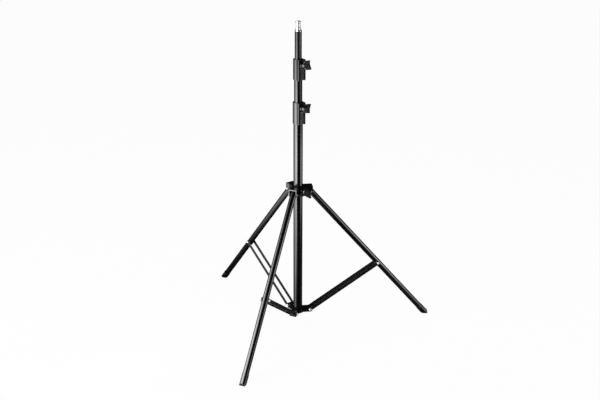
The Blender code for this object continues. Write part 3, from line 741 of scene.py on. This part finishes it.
def make_knob(name, height, tilt, boss_front, finishes):
    """A moulded wing knob on its screw. Its own Z runs out along the screw."""
    root = 9 * MM
    end = KNOB_CORE_LENGTH
    core = [(0, 0), (root, 0), (root, 4.5 * MM), (7.4 * MM, 6.5 * MM), (6.6 * MM, end - 2 * MM)]
    core += [(5 * MM, end), (0, end)]
    shape = turned(rounded(core, radius=0.8 * MM), sides=64)
    upright = [(up, along) for along, up in wing_outline()]
    wings = plate(upright, -WING_HALF_THICK, WING_HALF_THICK)
    data = moulded(combine(shape, joined(wings)), voxel=0.45 * MM, rounds=4)
    body = name + "_knob"
    turn = Matrix.Rotation(KNOB_TURN[name], 4, "X")
    place = screw_frame(height, tilt) @ moved(x=boss_front + KNOB_GAP) @ turn @ ALONG_X
    piece(name + "_wing_knob", data, finishes["knob"], body, [body], place, hard=False)


def make_leg_hub(finishes):
    """The leg spider: a sleeve with three forked ears, and the block and boss of its clamp."""
    low, high = HUB
    sleeve = turned([(0, low), (HUB_RADIUS, low), (HUB_RADIUS, high), (0, high)])
    corner = 2 * MM
    bevel_out = 3 * MM
    bevel_up = 4 * MM
    ear = [(EAR_ROOT, EAR_LOW), (EAR_REACH - bevel_out, EAR_LOW), (EAR_REACH, EAR_LOW + bevel_up)]
    ear += arc((EAR_REACH - corner, high - corner), corner, 0, 90, 8)
    ear.append((EAR_ROOT, high))
    beyond = 10 * MM
    ears = []
    gaps = []
    for azimuth in LEG_AZIMUTH.values():
        ears.append(placed(plate(ear, -EAR_HALF_WIDTH, EAR_HALF_WIDTH), spun(azimuth)))
        half = CHANNEL_HALF_WIDTH
        channel = slab((CHANNEL_ROOT, -half, low - beyond), (EAR_REACH + beyond, half, CHANNEL_ROOF))
        gaps.append(placed(channel, spun(azimuth)))
        gaps.append(pin_hole(BOLT_RADIUS + FIT, pivot_frame(azimuth, LEG_PIVOT)))
    half = HUB_BLOCK_HALF_WIDTH
    clamp_block = slab((BOSS_ROOT, -half, HUB_BLOCK_LOW), (HUB_BLOCK_FRONT, half, high - 3 * MM))
    screw = screw_frame(HUB_SCREW_HEIGHT, 0.0)
    boss = placed(rod(BOSS_RADIUS, BOSS_ROOT, HUB_BOSS_FRONT, SIDES), screw @ ALONG_X)
    clamp = [placed(clamp_block, spun(KNOB_AZIMUTH)), boss]
    bore = rod(TUBE_RADIUS["lower"] + HUB_SLIDE_FIT, low - beyond, high + beyond, SIDES)
    steps = joined(*ears, *clamp) + cut(*gaps, bore, screw_hole(PAD_RADIUS + FIT, screw))
    data = moulded(combine(sleeve, steps), voxel=0.6 * MM)
    piece("leg_spider", data, finishes["casting"], "leg_hub", ["leg_hub"], hard=False)
    make_knob("hub", HUB_SCREW_HEIGHT, 0.0, HUB_BOSS_FRONT, finishes)


def rivet_head(shank, seat, radius, thick):
    """The outline of a domed head with a dimple in the middle, from its shank to the axis."""
    crown = seat + thick
    outline = [(shank, seat), (radius, seat), (radius, seat + 0.35 * thick), (0.72 * radius, crown)]
    return outline + [(0.42 * radius, crown), (0.32 * radius, crown - MM), (0, crown - MM)]


def headed_pin(shank, seat, radius, thick):
    """A pin along Z with the same head at both ends."""
    end = rivet_head(shank, seat, radius, thick)
    other = [(away, -height) for away, height in reversed(end)]
    return turned(rounded(other + end, radius=0.5 * MM), FINE_SIDES)


def make_leg_bolts(finishes):
    """One bolt through each ear and the leg in it."""
    for name, azimuth in LEG_AZIMUTH.items():
        bolt = headed_pin(BOLT_RADIUS, seat=EAR_HALF_WIDTH + FIT, radius=5.2 * MM, thick=2.6 * MM)
        place = pivot_frame(azimuth, LEG_PIVOT) @ ALONG_Y
        node = name + "_leg_pivot_bolt"
        piece(node + "_turned", bolt, finishes["bolt"], "leg_hub", [node], place)


def leg_tube_shape():
    """A leg's tube, bored across for its pivot bolt."""
    section = tube_section(LEG_RADIUS, LEG_TUBE_END - LEG_LENGTH, LEG_TUBE_TOP)
    return combine(turned(rounded(section, radius=0.3 * MM)), cut(pin_hole(BOLT_RADIUS + FIT)))


def leg_plug_shape():
    """The plug in a leg's top, its lip over the tube."""
    inside = LEG_RADIUS - WALL - FIT
    low = -LEG_PLUG_DEPTH
    lip = LEG_TUBE_TOP + FIT
    high = lip + 2 * MM
    section = [(0, low), (inside, low), (inside, lip), (LEG_RADIUS, lip), (LEG_RADIUS, high), (0, high)]
    return combine(turned(rounded(section, radius=0.9 * MM)), cut(pin_hole(BOLT_RADIUS + FIT)))


def make_legs(finishes):
    """Three legs, each modelled once along its own Z and set in its place.

    A foot's own points are moved there, because the size of the stand is measured on them.
    """
    tube = leg_tube_shape()
    plug = leg_plug_shape()
    foot = moulded(foot_shape(), voxel=0.5 * MM)
    saddle = moulded(saddle_shape(), voxel=0.4 * MM)
    plastic = finishes["plastic"]
    for name, azimuth in LEG_AZIMUTH.items():
        leg = name + "_leg"
        place = leg_frame(azimuth)
        piece(leg + "_round_tube", tube.copy(), finishes["tube"], leg, [leg + "_tube"], place)
        piece(leg + "_cap", plug.copy(), plastic, leg, [leg + "_top_plug"], place)
        upright = foot.copy()
        upright.transform(place)
        piece(name + "_rubber_foot", upright, finishes["rubber"], leg, [name + "_foot"],
              hard=False)
        piece(leg + "_saddle", saddle.copy(), plastic, leg, [name + "_brace_saddle"], place,
              hard=False)


def foot_shape():
    """A rubber foot along a leg's Z, cut level for the floor and upright at its toe."""
    end = -LEG_LENGTH - 30 * MM
    rim = -LEG_LENGTH + FOOT_LENGTH
    socket = LEG_RADIUS + FIT
    socket_end = LEG_TUBE_END - LEG_LENGTH - FIT
    section = [(0, end), (FOOT_RADIUS, end), (FOOT_RADIUS, rim), (socket, rim), (socket, socket_end)]
    section.append((0, socket_end))
    big = 60 * MM
    middle = FOOT_CENTRE
    toe = middle + FOOT_TOE
    floor_cut = slab((middle - 2 * big, -big, FLOOR_Z - 2 * big), (middle + 2 * big, big, FLOOR_Z))
    toe_cut = slab((toe, -big, FLOOR_Z - 2 * big), (toe + 2 * big, big, FLOOR_Z + big))
    to_leg = leg_frame(0.0).inverted()
    return combine(turned(section), cut(placed(floor_cut, to_leg), placed(toe_cut, to_leg)))


def saddle_shape():
    """The saddle under a leg, flat at its sides and open over the leg's top."""
    big = 40 * MM
    low = -BRACE_ALONG_LEG - big
    high = -BRACE_ALONG_LEG + big
    bottom = -BRACE_ALONG_LEG - SADDLE_HALF_LENGTH
    top = -BRACE_ALONG_LEG + SADDLE_HALF_LENGTH
    outside = [(0, bottom), (SADDLE_RADIUS, bottom), (SADDLE_RADIUS, top), (0, top)]
    near_side = slab((-big, -big, low), (big, -SADDLE_SIDE, high))
    far_side = slab((-big, SADDLE_SIDE, low), (big, big, high))
    opening = slab((SADDLE_OPENING, -big, low), (big, big, high))
    bore = rod(LEG_RADIUS + FIT, low, high, SIDES)
    return combine(turned(rounded(outside, radius=0.6 * MM)), cut(far_side, near_side, opening, bore))


def strip_shape(low, high):
    """A flat strip along X with round ends, between two faces across Y."""
    length = BRACE_SPAN.length
    half = STRIP_HALF_HEIGHT
    outline = arc((length, 0), half, -90, 90, 24) + arc((0, 0), half, 90, 270, 24)
    holes = [pin_hole(RIVET_RADIUS + FIT, moved(x=along)) for along in (0, length)]
    return combine(edged(plate(outline, low, high), width=0.35 * MM), cut(*holes))


def make_braces(finishes):
    """Two strips a brace, on the lower pins and riveted to the leg."""
    outer = STRIP_INNER + STRIP_THICK
    seat = outer + FIT
    pin = mesh_of(headed_pin(RIVET_RADIUS, seat, radius=4.8 * MM, thick=RIVET_HEAD_HEIGHT))
    shank_end = STRIP_INNER + 0.1 * MM
    section = [(0, shank_end), (RIVET_RADIUS, shank_end)]
    section += rivet_head(RIVET_RADIUS, seat, radius=4.2 * MM, thick=RIVET_HEAD_HEIGHT)
    rivet = mesh_of(turned(rounded(section, radius=0.5 * MM), FINE_SIDES))
    sides = {
        "near": (strip_shape(-outer, -STRIP_INNER), math.pi),
        "far": (strip_shape(STRIP_INNER, outer), 0.0),
    }
    for name, azimuth in LEG_AZIMUTH.items():
        body = name + "_brace"
        place = brace_frame(azimuth)
        for side, (strip, turn) in sides.items():
            node = body + "_" + side
            piece(node + "_flat_strip", strip.copy(), finishes["strip"], body, [node + "_strip"],
                  place)
            at_leg = place @ moved(x=BRACE_SPAN.length) @ ALONG_Y @ Matrix.Rotation(turn, 4, "X")
            piece(node + "_rivet_head", rivet.copy(), finishes["rivet"], body, [node + "_rivet"],
                  at_leg)
        node = body + "_lower_pin"
        at_mast = pivot_frame(azimuth, BRACE_PIVOT) @ ALONG_Y
        piece(node + "_turned", pin.copy(), finishes["rivet"], "mast", [node], at_mast)


def make_lower_spider(finishes):
    """The spider at the mast's foot: three solid lugs on a ring."""
    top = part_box("lower_spider")[1].z
    ring = turned(rounded([(0, 0), (HUB_RADIUS, 0), (HUB_RADIUS, top), (0, top)], radius=1 * MM))
    bevel = 3 * MM
    corner = 4 * MM
    lug = [(EAR_ROOT, 0), (LUG_REACH - bevel, 0), (LUG_REACH, bevel)]
    lug += arc((LUG_REACH - corner, LUG_TOP - corner), corner, 0, 90, 8)
    lug.append((EAR_ROOT, LUG_TOP))
    lugs = []
    holes = []
    for azimuth in LEG_AZIMUTH.values():
        lugs.append(placed(plate(lug, -LUG_HALF_WIDTH, LUG_HALF_WIDTH), spun(azimuth)))
        holes.append(pin_hole(RIVET_RADIUS + FIT, pivot_frame(azimuth, BRACE_PIVOT)))
    holes.append(rod(TUBE_RADIUS["lower"] + FIT, -5 * MM, 30 * MM, SIDES))
    screw_height = LUG_TOP / 2
    holes.append(screw_hole(FIXING_HOLE_RADIUS, screw_frame(screw_height, 0.0)))
    data = moulded(combine(ring, joined(*lugs) + cut(*holes)))
    piece("brace_spider", data, finishes["casting"], "mast", ["lower_spider"], hard=False)
    make_fixing_screw("lower_spider_fixing_screw", screw_height, HUB_RADIUS + FIT, "mast", finishes)


def dress_cad_nodes(finishes):
    """The CAD nodes get their finished materials, for those that no piece stands for."""
    for row in frame["record"]["subparts"]:
        node = frame["nodes"][row["node"]]
        node.data.materials.clear()
        node.data.materials.append(finishes[row["material_slot"]])


def set_camera():
    """The photograph's camera, as fitted. The stand keeps the frame, so the camera goes round it."""
    camera = bpy.data.objects.new("camera", bpy.data.cameras.new("camera"))
    bpy.context.collection.objects.link(camera)
    camera.data.sensor_width = SENSOR
    camera.data.lens = FOCAL_PIXELS * SENSOR / PHOTO_WIDTH
    camera.data.shift_x = (PHOTO_WIDTH / 2 - MAST_PIXEL) / PHOTO_WIDTH
    camera.data.clip_end = 100
    aim = Matrix.Rotation(math.pi / 2 - CAMERA_PITCH, 4, "X") @ Matrix.Rotation(CAMERA_ROLL, 4, "Z")
    stand = moved(z=FLOOR_Z) @ spun(STAND_TURN)
    camera.matrix_world = stand @ moved(0, -CAMERA_BACK, CAMERA_UP) @ aim
    bpy.context.scene.camera = camera


def make_floor():
    """A wide white floor. It keeps the stand's shadow, faint as in a bright studio."""
    bm = bmesh.new()
    bmesh.ops.create_grid(bm, x_segments=1, y_segments=1, size=FLOOR_HALF_SIZE)
    floor = bpy.data.objects.new("floor", mesh_of(placed(bm, moved(z=FLOOR_Z))))
    bpy.context.collection.objects.link(floor)
    made = Finish("white_floor", grey(0.85), roughness=0.9)
    lit = Socket(made, made.shader.outputs[0])
    glow = made.add("Emission", None, {"Color": (*grey(1.0), 1.0), "Strength": 1.0})
    mixed = made.add("MixShader", None, {0: made.seen_directly() * FLOOR_GLOW, 1: lit, 2: glow})
    made.feed(made.tree.nodes["Material Output"].inputs["Surface"], mixed)
    floor.data.materials.append(made.material)


def make_world():
    """White behind the stand and in what it reflects, and a plain grey fill on the stand."""
    world = bpy.data.worlds.new("white_studio")
    bpy.context.scene.world = world
    world.use_nodes = True
    sky = Shading(world.node_tree)
    colour = sky.colour(sky.seen_directly(), grey(WORLD_FILL), grey(1.0))
    sky.feed(world.node_tree.nodes["Background"].inputs["Color"], colour)


def tent_mesh():
    """A floor disc, a round wall and a roof. The roof has the second material."""
    rings = [(TENT_HOLE, TENT_LIFT), (0.5, TENT_LIFT), (TENT_RADIUS - 0.1, TENT_LIFT)]
    rings += [(TENT_RADIUS - 0.03, 0.03), (TENT_RADIUS, 0.1)]
    rings += [(TENT_RADIUS, TENT_HEIGHT), (TENT_HOLE, TENT_HEIGHT)]
    turns = [math.tau * step / SIDES for step in range(SIDES)]
    bm = bmesh.new()
    loops = []
    for radius, height in rings:
        around = [(TENT_SHIFT + radius * math.sin(turn), -radius * math.cos(turn)) for turn in turns]
        loops.append([bm.verts.new((x, y, height)) for x, y in around])
    for inner, outer in zip(loops, loops[1:]):
        for step in range(SIDES):
            after = (step + 1) % SIDES
            face = bm.faces.new((inner[step], inner[after], outer[after], outer[step]))
            face.material_index = int(outer is loops[-1])
    return mesh_of(bm)


def card_finish(name):
    """A surface that gives its own light and reflects none."""
    return Finish(name, grey(0.0), roughness=1.0, Specular_IOR_Level=0.0, Emission_Strength=CARD_LEVEL)


# Each card: how much of it there is at each bearing, and its level along the path, where 1 is white.
CARDS = [
    # Left, lowest
    ([(-180, 0), (-88, 0), (-80, 0.3), (-68, 1), (-58, 0.8), (-44, 0.15), (-30, 0)],
     [(0, 2.2), (0.17, 3.2), (0.45, 4.6), (0.8, 0)]),
    # Left, low
    ([(-180, 0), (-86, 0), (-80, 0.15), (-66, 0.75), (-58, 1), (-26, 1), (-18, 0)],
     [(0, 0), (0.3, 0.5), (0.55, 3), (0.85, 6.4), (1.35, 11), (1.8, 15.5), (2.25, 12), (2.48, 7),
      (2.62, 6.5), (2.75, 0)]),
    # Left, high
    ([(-180, 0), (-112, 0), (-105, 0.05), (-99, 0.14), (-92, 0.65), (-84, 1), (-62, 1), (-50, 0)],
     [(0, 0), (2.62, 0), (2.8, 14), (3.2, 16), (3.45, 12), (3.6, 7), (3.8, 4), (4, 2.2), (4.3, 0.8),
      (4.6, 0.3)]),
    # Left, highest
    ([(-180, 0), (-62, 0), (-50, 1), (-26, 1), (-16, 0.3), (-8, 0.02), (0, 0)],
     [(0, 0), (2.9, 0), (3.12, 14), (3.25, 16), (3.6, 16.5), (4, 13), (4.3, 9), (4.6, 4), (4.9, 2),
      (5.2, 0.6)]),
    # Behind the left ones
    ([(-180, 0), (-145, 0.01), (-132, 0.03), (-125, 0.07), (-113, 0.14), (-104, 0.55), (-96, 0.75),
      (-84, 0.8), (-74, 0)],
     [(0, 0.2), (0.3, 1.1), (0.5, 1.6), (0.7, 2.9), (1.2, 5.6), (1.6, 4.5), (2.2, 4.5), (2.5, 1),
      (3, 0.2)]),
    # Right, low
    ([(-180, 0), (60, 0), (69, 1), (82, 1), (92, 0.4), (105, 0.18), (122, 0)],
     [(0, 0.1), (0.6, 0.15), (0.9, 0.9), (1.15, 3), (1.5, 5), (1.9, 6), (2.15, 3.4), (2.35, 1.2),
      (2.6, 0.6), (2.85, 1), (3.4, 1.1), (3.5, 0.5), (3.85, 0.3), (3.95, 0)]),
    # Right, where the floor meets the wall
    ([(-180, 0), (46, 0), (51, 0.6), (56, 1), (62, 1), (67, 0.25), (74, 0)],
     [(0, 0), (3.2, 0), (3.5, 2.6), (3.8, 4.4), (4.15, 4.8), (4.5, 3.8), (4.7, 0)]),
    # Right, for the stud
    ([(-180, 0), (70, 0), (80, 1), (104, 1), (116, 0)],
     [(0, 0), (4.08, 0), (4.16, 3), (4.3, 3), (4.4, 0)]),
    # Right, high
    ([(-180, 0), (66, 0), (72, 1), (84, 1), (90, 0.3), (96, 0.06), (110, 0.02), (122, 0)],
     [(0, 0), (4.1, 0), (4.5, 3), (4.65, 6), (4.8, 10), (5, 10), (5.15, 7), (5.3, 2.5), (6, 0.4)]),
    # Right, behind, lowest
    ([(-180, 0), (122, 0), (132, 1), (146, 1), (156, 0)],
     [(0, 0.6), (0.45, 0.6), (0.8, 0)]),
]


def bearings(*stops):
    """Ramp stops from (degrees round from the camera's side, level) pairs."""
    return [(bearing / 360 + 0.5, level) for bearing, level in stops]


def paths(*stops):
    """Ramp stops from (metres out along the floor and on up the wall, level) pairs."""
    return [(path / TENT_PATH, level / CARD_LEVEL) for path, level in stops]


def make_tent():
    """Studio cards and black flags round the stand, which only its reflections show."""
    tent = bpy.data.objects.new("studio_cards", tent_mesh())
    bpy.context.collection.objects.link(tent)
    tent.matrix_world = moved(z=FLOOR_Z) @ spun(STAND_TURN)
    tent.visible_camera = False
    tent.visible_diffuse = False
    tent.visible_transmission = False
    tent.visible_volume_scatter = False
    tent.visible_shadow = False
    cards = card_finish("studio_cards")
    x, y, z = cards.axes()
    turn = x.calculated("ARCTAN2", -1.0 * y) / math.tau + 0.5
    path = (from_axis(x, y) + z) / TENT_PATH
    level = BLACK_FLAG / CARD_LEVEL
    for round_the_stand, along_the_path in CARDS:
        share = cards.ramp(turn, *bearings(*round_the_stand))
        level = share * cards.ramp(path, *paths(*along_the_path)) + level
    cards.shade(Emission_Color=level)
    flag = card_finish("black_flag")
    flag.shade(Emission_Color=(*grey(BLACK_FLAG / CARD_LEVEL), 1.0))
    tent.data.materials.append(cards.material)
    tent.data.materials.append(flag.material)


def add_lamp(name, bearing, out, height, size, light):
    """A soft area lamp that looks at the stand's middle. Light is what falls there, in W/m2."""
    data = bpy.data.lights.new(name, "AREA")
    data.shape = "DISK"
    data.size = size
    lamp = bpy.data.objects.new(name, data)
    bpy.context.collection.objects.link(lamp)
    turn = math.radians(bearing)
    at = spun(STAND_TURN) @ Vector((out * math.sin(turn), -out * math.cos(turn), height))
    aim = Vector((0, 0, STAND_MIDDLE)) - at
    data.energy = light * math.pi * aim.length_squared
    lamp.matrix_world = Matrix.Translation(at) @ aim.to_track_quat("-Z", "Y").to_matrix().to_4x4()
    lamp.visible_camera = False
    lamp.visible_glossy = False


def make_studio():
    """Plain soft light, white all round, and the cards that the gloss shows."""
    make_floor()
    make_world()
    make_tent()
    add_lamp("key_lamp", bearing=-60, out=2.6, height=2.2, size=1.6, light=1.6)
    add_lamp("fill_lamp", bearing=65, out=2.8, height=1.8, size=1.8, light=0.8)
    add_lamp("top_lamp", bearing=180, out=0.8, height=3.2, size=1.6, light=0.5)
    bpy.context.scene.view_settings.view_transform = "Standard"


def make_finishes():
    """The finishes by name, among them one for each material slot of the record."""
    return {
        "tube": black_tube(),
        "plastic": black_plastic(),
        "collar": collar_plastic(),
        "casting": spider_plastic(),
        "knob": knob_plastic(),
        "strip": black_strip(),
        "rubber": foot_rubber(),
        "nylon": natural_nylon(),
        "nickel": turned_metal("nickel", level=0.5, roughness=0.22),
        "rivet": turned_metal("rivet_steel", level=0.85, roughness=0.36, metallic=0.4),
        "bolt": turned_metal("bolt_steel", level=0.25, roughness=0.34),
        "steel": turned_metal("zinc_steel", level=0.56, roughness=0.28),
        "dark_steel": turned_metal("blackened_steel", level=0.06, roughness=0.36),
    }


def main():
    finishes = make_finishes()
    dress_cad_nodes(finishes)
    make_mast_tubes(finishes)
    make_mast_plug(finishes)
    make_stud(finishes)
    make_collars(finishes)
    make_leg_hub(finishes)
    make_leg_bolts(finishes)
    make_legs(finishes)
    make_braces(finishes)
    make_lower_spider(finishes)
    make_studio()
    set_camera()


main()
